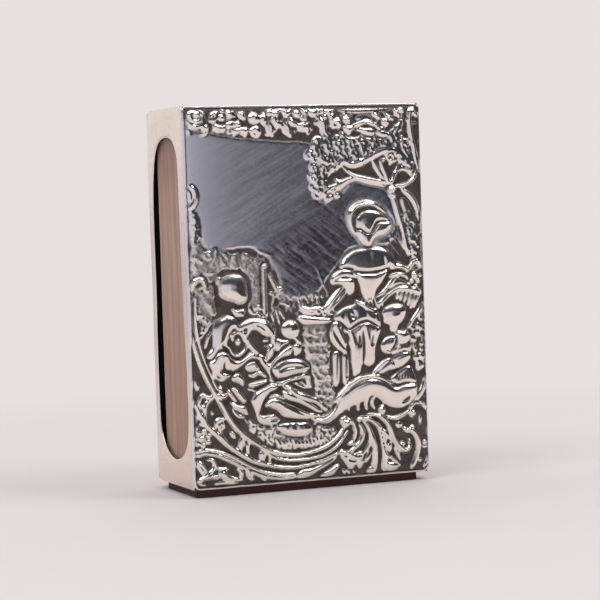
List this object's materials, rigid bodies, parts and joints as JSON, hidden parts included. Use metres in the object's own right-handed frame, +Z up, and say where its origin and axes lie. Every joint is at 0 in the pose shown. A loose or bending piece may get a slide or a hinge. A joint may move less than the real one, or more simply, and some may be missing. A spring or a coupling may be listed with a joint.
{
  "type": "matchbox cover",
  "caption": "Open-ended embossed silver matchbox cover with long round-ended striker windows, over a sliding card matchbox with its tray and wooden matches.",
  "frame": {"origin": "middle of the base, on the surface the matchbox stands on", "axes": "+Z up along the matchbox, -Y out of the embossed front panel, +X to the right as the front is looked at"},
  "size_m": [0.0386, 0.0184, 0.0578],
  "materials": {
    "embossed_silver": "polished silver, high parts bright, recesses dark brown-grey with tarnish",
    "plain_silver": "polished silver with fine upright scratches and small dents",
    "sleeve_card": "dark red-brown paper over card, matt",
    "striker": "pinkish brown striking strip, matt and gritty, with golden streaks along it",
    "tray_card": "grey-buff card, matt",
    "match_wood": "plain split wood, matt",
    "match_head": "dark red dipped heads, matt and slightly grainy"
  },
  "bodies": {
    "cover": {"embossed_front_panel": "embossed_silver", "back_and_side_channel": "plain_silver"},
    "matchbox": {"matchbox_sleeve": "sleeve_card", "striker_strip_left": "striker", "striker_strip_right": "striker"},
    "tray": {"matchbox_tray": "tray_card", "match_stick_01": "match_wood", "match_stick_02": "match_wood", "match_stick_03": "match_wood", "match_stick_04": "match_wood", "match_stick_05": "match_wood", "match_stick_06": "match_wood", "match_stick_07": "match_wood", "match_stick_08": "match_wood", "match_stick_09": "match_wood", "match_stick_10": "match_wood", "match_stick_11": "match_wood", "match_stick_12": "match_wood", "match_stick_13": "match_wood", "match_stick_14": "match_wood", "match_stick_15": "match_wood", "match_stick_16": "match_wood", "match_stick_17": "match_wood", "match_stick_18": "match_wood", "match_stick_19": "match_wood", "match_stick_20": "match_wood", "match_stick_21": "match_wood", "match_stick_22": "match_wood", "match_stick_23": "match_wood", "match_stick_24": "match_wood", "match_head_01": "match_head", "match_head_02": "match_head", "match_head_03": "match_head", "match_head_04": "match_head", "match_head_05": "match_head", "match_head_06": "match_head", "match_head_07": "match_head", "match_head_08": "match_head", "match_head_09": "match_head", "match_head_10": "match_head", "match_head_11": "match_head", "match_head_12": "match_head", "match_head_13": "match_head", "match_head_14": "match_head", "match_head_15": "match_head", "match_head_16": "match_head", "match_head_17": "match_head", "match_head_18": "match_head", "match_head_19": "match_head", "match_head_20": "match_head", "match_head_21": "match_head", "match_head_22": "match_head", "match_head_23": "match_head", "match_head_24": "match_head"}
  },
  "joints": [
    {"name": "matchbox_slide", "type": "slide", "parent": "cover", "child": "matchbox", "axis": [0, 0, 1], "range_m": [-0.05, 0.05]},
    {"name": "tray_slide", "type": "slide", "parent": "matchbox", "child": "tray", "axis": [0, 0, 1], "range_m": [-0.045, 0.045]}
  ]
}
